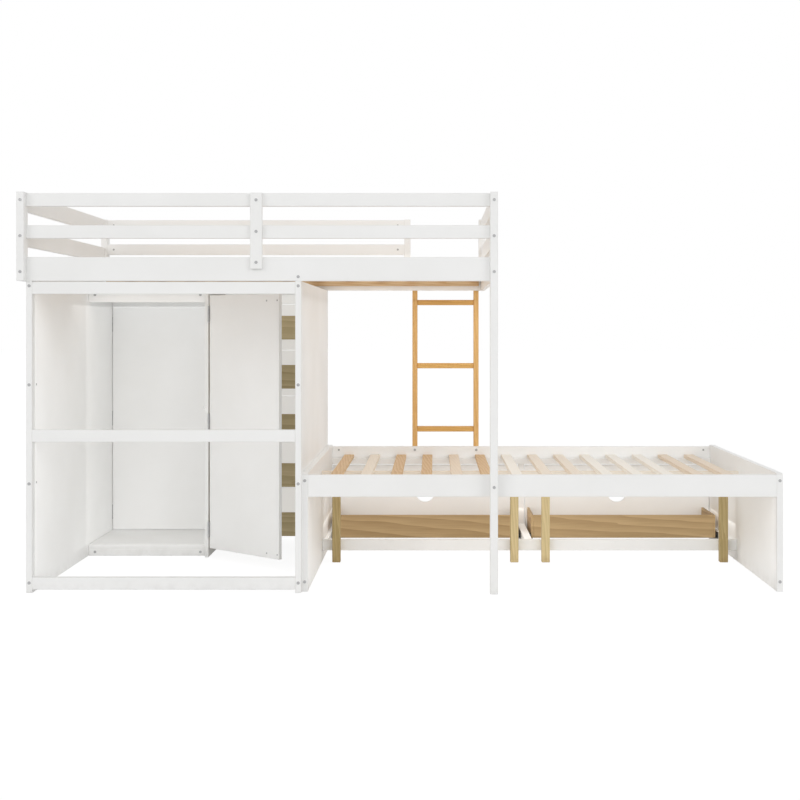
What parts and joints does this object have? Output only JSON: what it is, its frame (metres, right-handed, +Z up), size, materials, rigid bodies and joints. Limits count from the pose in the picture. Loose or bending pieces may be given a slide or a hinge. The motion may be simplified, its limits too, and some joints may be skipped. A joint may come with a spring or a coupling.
{
  "type": "bunk bed with wardrobe and drawers",
  "caption": "Raised bunk with guard rails over an open-backed wardrobe and a column of drawers, joined to a low slatted bed with two wide drawers and a ladder.",
  "frame": {"origin": "on the floor, under the middle of the bounding box", "axes": "+X along the beds from the wardrobe to the low bed's free end, +Y from the wall side to the ladder side, +Z up"},
  "size_m": [3.197, 1.551, 1.672],
  "materials": {
    "white_paint": "smooth white paint on board",
    "plywood": "oiled plywood, brown, soft grain",
    "pine": "bare planed pine",
    "ladder_wood": "oiled pine, warm",
    "bolt_steel": "plated socket heads",
    "hinge_steel": "plain plated steel",
    "black_plastic": "black moulded plastic",
    "nut_cap": "grey push-in caps"
  },
  "bodies": {
    "frame": {"bunk_short_posts": "white_paint", "bunk_tall_post": "white_paint", "bunk_back_guard_rails": "white_paint", "bunk_back_bed_rail": "white_paint", "bunk_back_guard_batten": "white_paint", "bunk_front_guard_rails": "white_paint", "bunk_front_guard_end_post": "white_paint", "bunk_front_bed_rail": "white_paint", "bunk_left_end_rails": "white_paint", "bunk_right_end_rails": "white_paint", "bunk_slat_cleats": "pine", "bunk_slats": "pine", "wardrobe_left_panel": "white_paint", "wardrobe_right_panel": "white_paint", "wardrobe_stiles": "white_paint", "wardrobe_back_rails": "white_paint", "wardrobe_partition": "white_paint", "wardrobe_base": "white_paint", "wardrobe_top": "white_paint", "front_door_hinge_leaves": "hinge_steel", "rear_door_hinge_leaves": "hinge_steel", "stack_runners": "pine", "bed_left_panel": "white_paint", "bed_right_panel": "white_paint", "bed_stiles": "white_paint", "bed_back_rail": "white_paint", "bed_front_rail": "white_paint", "bed_slat_cleats": "white_paint", "bed_slats": "pine", "bed_centre_beam": "pine", "bed_centre_legs": "pine", "bed_stretcher": "white_paint", "bed_drawer_supports": "white_paint", "bed_drawer_runners": "hinge_steel", "ladder_rails": "ladder_wood", "ladder_rungs": "ladder_wood", "bolt_heads": "bolt_steel", "nut_caps": "nut_cap"},
    "front_door": {"front_door": "white_paint", "front_door_hinge_knuckles": "hinge_steel"},
    "rear_door": {"rear_door": "white_paint", "rear_door_hinge_knuckles": "hinge_steel"},
    "stack_drawer_1": {"stack_drawer_1_front": "white_paint", "stack_drawer_1_box": "plywood"},
    "stack_drawer_2": {"stack_drawer_2_front": "white_paint", "stack_drawer_2_box": "plywood"},
    "stack_drawer_3": {"stack_drawer_3_front": "white_paint", "stack_drawer_3_box": "plywood"},
    "stack_drawer_4": {"stack_drawer_4_front": "white_paint", "stack_drawer_4_box": "plywood"},
    "stack_drawer_5": {"stack_drawer_5_front": "white_paint", "stack_drawer_5_box": "plywood"},
    "bed_drawer_left": {"bed_drawer_left_front": "white_paint", "bed_drawer_left_box": "plywood", "bed_drawer_left_axles": "hinge_steel"},
    "bed_drawer_left_rollers": {"bed_drawer_left_rollers": "black_plastic"},
    "bed_drawer_right": {"bed_drawer_right_front": "white_paint", "bed_drawer_right_box": "plywood", "bed_drawer_right_axles": "hinge_steel"},
    "bed_drawer_right_rollers": {"bed_drawer_right_rollers": "black_plastic"}
  },
  "joints": [
    {"name": "front_door_swing", "type": "hinge", "parent": "frame", "child": "front_door", "pos_m": [-1.54, 0.7231, 0.6365], "axis": [0, 0, 1], "range_deg": [0, 110]},
    {"name": "rear_door_swing", "type": "hinge", "parent": "frame", "child": "rear_door", "pos_m": [-0.95, 0.1539, 0.6545], "axis": [0, 0, 1], "range_deg": [-134, 42.2]},
    {"name": "stack_drawer_1_slide", "type": "slide", "parent": "frame", "child": "stack_drawer_1", "axis": [0, 1, 0], "range_m": [0, 0.38]},
    {"name": "stack_drawer_2_slide", "type": "slide", "parent": "frame", "child": "stack_drawer_2", "axis": [0, 1, 0], "range_m": [0, 0.38]},
    {"name": "stack_drawer_3_slide", "type": "slide", "parent": "frame", "child": "stack_drawer_3", "axis": [0, 1, 0], "range_m": [0, 0.38]},
    {"name": "stack_drawer_4_slide", "type": "slide", "parent": "frame", "child": "stack_drawer_4", "axis": [0, 1, 0], "range_m": [0, 0.38]},
    {"name": "stack_drawer_5_slide", "type": "slide", "parent": "frame", "child": "stack_drawer_5", "axis": [0, 1, 0], "range_m": [0, 0.38]},
    {"name": "bed_drawer_left_slide", "type": "slide", "parent": "frame", "child": "bed_drawer_left", "axis": [0, 1, 0], "range_m": [0, 0.22]},
    {"name": "bed_drawer_left_rollers_roll", "type": "hinge", "parent": "bed_drawer_left", "child": "bed_drawer_left_rollers", "pos_m": [0.09775, 0.4125, 0.0695], "axis": [-1, 0, 0], "continuous": true},
    {"name": "bed_drawer_right_slide", "type": "slide", "parent": "frame", "child": "bed_drawer_right", "axis": [0, 1, 0], "range_m": [0, 0.22]},
    {"name": "bed_drawer_right_rollers_roll", "type": "hinge", "parent": "bed_drawer_right", "child": "bed_drawer_right_rollers", "pos_m": [1.08225, 0.4125, 0.0695], "axis": [-1, 0, 0], "continuous": true}
  ],
  "couplings": [
    {"joint": "bed_drawer_left_rollers_roll", "follows": "bed_drawer_left_slide", "rad_per_m": 86.957},
    {"joint": "bed_drawer_right_rollers_roll", "follows": "bed_drawer_right_slide", "rad_per_m": 86.957}
  ]
}
